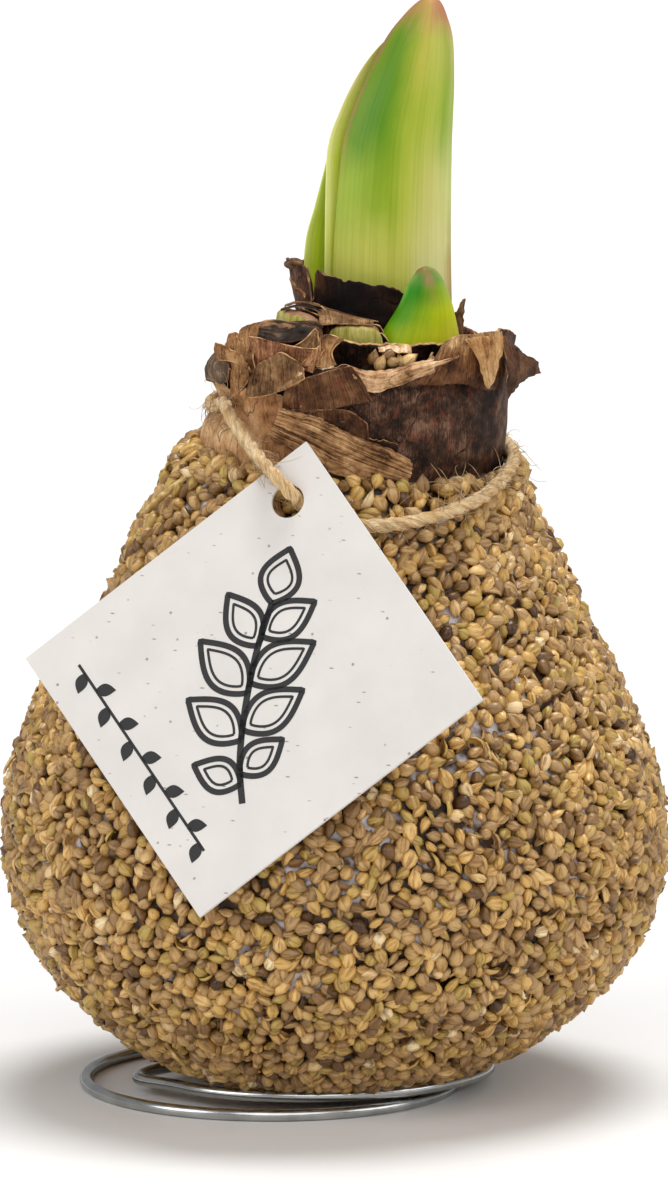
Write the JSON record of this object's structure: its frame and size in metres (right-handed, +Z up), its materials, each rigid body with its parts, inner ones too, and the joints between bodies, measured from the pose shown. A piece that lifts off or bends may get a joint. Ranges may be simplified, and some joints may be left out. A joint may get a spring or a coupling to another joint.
{
  "type": "waxed amaryllis bulb",
  "caption": "Pear-shaped amaryllis bulb rolled in millet seed over wax, with a torn papery neck, green shoot, wire coil stand and a card tag on jute twine.",
  "frame": {"origin": "middle of the footprint of bulb and wire coil, on the surface that the coil stands on", "axes": "+Z up along the leaves, -Y towards the front, where the tag hangs, +X to the viewer's right"},
  "size_m": [0.1106, 0.1142, 0.1824],
  "materials": {
    "galvanised_wire": "satin",
    "bulb_flesh": "matte",
    "white_wax": "satin",
    "millet_seed": "matte",
    "dry_tunic": "matte",
    "old_tunic": "matte",
    "cut_scale": "matte",
    "leaf": "satin",
    "tag_card": "matte",
    "jute_twine": "matte"
  },
  "bodies": {
    "root": {"wire_stand": "galvanised_wire", "bulb": "bulb_flesh", "wax_coat": "white_wax", "seed_cover": "millet_seed", "outer_tunic": "dry_tunic", "peeling_tunic": "old_tunic", "middle_tunic": "old_tunic", "inner_collar": "dry_tunic", "cut_scale_left": "cut_scale", "cut_scale_front": "cut_scale", "front_leaf": "leaf", "back_leaf": "leaf", "side_leaf": "leaf", "small_leaf": "leaf", "tag": "tag_card", "twine": "jute_twine", "twine_knot": "jute_twine"}
  },
  "joints": []
}
